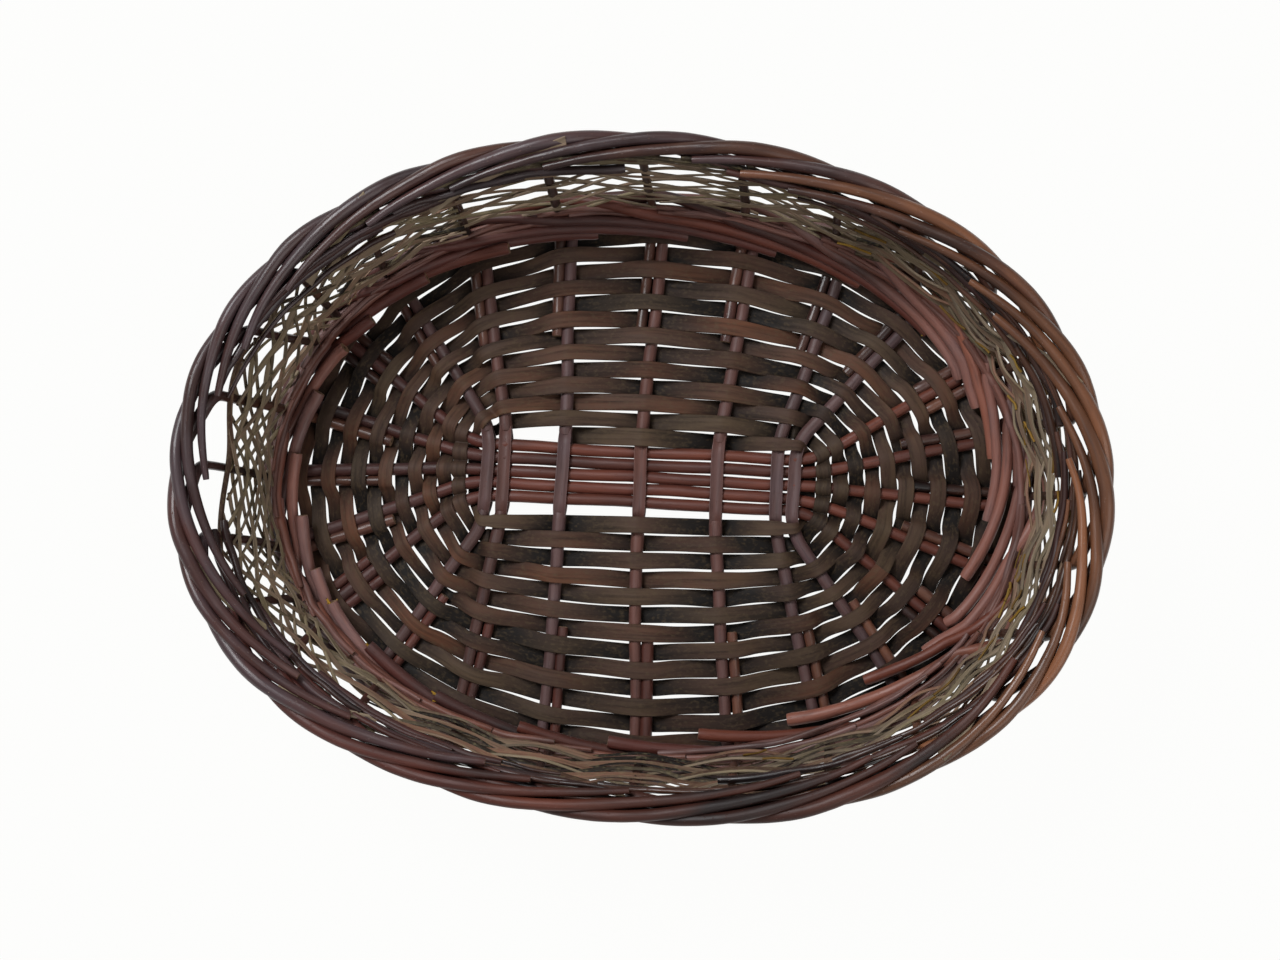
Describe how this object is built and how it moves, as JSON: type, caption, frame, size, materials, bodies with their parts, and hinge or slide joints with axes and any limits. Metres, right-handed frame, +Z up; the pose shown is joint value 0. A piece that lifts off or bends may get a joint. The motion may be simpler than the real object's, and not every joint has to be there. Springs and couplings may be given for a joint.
{
  "type": "oval willow basket",
  "caption": "Shallow oval open basket of whole willow rods and split willow strips, with a see-through centre in its woven base, a sloping side and a thick border of rods laid in turn.",
  "frame": {"origin": "middle of the oval's outline, on the surface that the basket stands on", "axes": "+X along the oval's length, to the right in the picture; +Y across it, towards the picture's top; +Z up, out of the basket's mouth"},
  "size_m": [0.4484, 0.3288, 0.1],
  "materials": {
    "base_stick": "orange-brown willow bark, low sheen",
    "split_stick": "split mauve-brown willow, low sheen",
    "base_strip": "dark brown and olive-grey split willow, matt",
    "stake": "dark purplish-brown willow bark, satin",
    "upsett_rod": "red-brown willow bark, low sheen, pale cut ends",
    "side_strip": "olive-brown split willow, matt"
  },
  "bodies": {
    "root": {"base_long_stick_1": "base_stick", "base_long_stick_2": "base_stick", "base_long_stick_3": "base_stick", "base_long_stick_4": "base_stick", "base_long_stick_5": "base_stick", "base_cross_stick_1": "split_stick", "base_cross_stick_2": "split_stick", "base_cross_stick_3": "split_stick", "base_cross_stick_4": "split_stick", "base_cross_stick_5": "split_stick", "base_cross_stick_6": "split_stick", "base_cross_stick_7": "split_stick", "base_strip_a1": "base_strip", "base_strip_a2": "base_strip", "base_strip_b1": "base_strip", "base_strip_b2": "base_strip", "side_stake_01": "stake", "side_stake_02": "stake", "side_stake_03": "stake", "side_stake_04": "stake", "side_stake_05": "stake", "side_stake_06": "stake", "side_stake_07": "stake", "side_stake_08": "stake", "side_stake_09": "stake", "side_stake_10": "stake", "side_stake_11": "stake", "side_stake_12": "stake", "side_stake_13": "stake", "side_stake_14": "stake", "side_stake_15": "stake", "side_stake_16": "stake", "side_stake_17": "stake", "side_stake_18": "stake", "side_stake_19": "stake", "side_stake_20": "stake", "side_stake_21": "stake", "side_stake_22": "stake", "side_stake_23": "stake", "side_stake_24": "stake", "side_stake_25": "stake", "side_stake_26": "stake", "side_stake_27": "stake", "side_stake_28": "stake", "upsett_rod_01": "upsett_rod", "upsett_rod_02": "upsett_rod", "upsett_rod_03": "upsett_rod", "upsett_rod_04": "upsett_rod", "upsett_rod_05": "upsett_rod", "upsett_rod_06": "upsett_rod", "upsett_rod_07": "upsett_rod", "upsett_rod_08": "upsett_rod", "upsett_rod_09": "upsett_rod", "upsett_rod_10": "upsett_rod", "upsett_rod_11": "upsett_rod", "upsett_rod_12": "upsett_rod", "upsett_rod_13": "upsett_rod", "upsett_rod_14": "upsett_rod", "side_strip_a": "side_strip", "side_strip_b": "side_strip"}
  },
  "joints": []
}
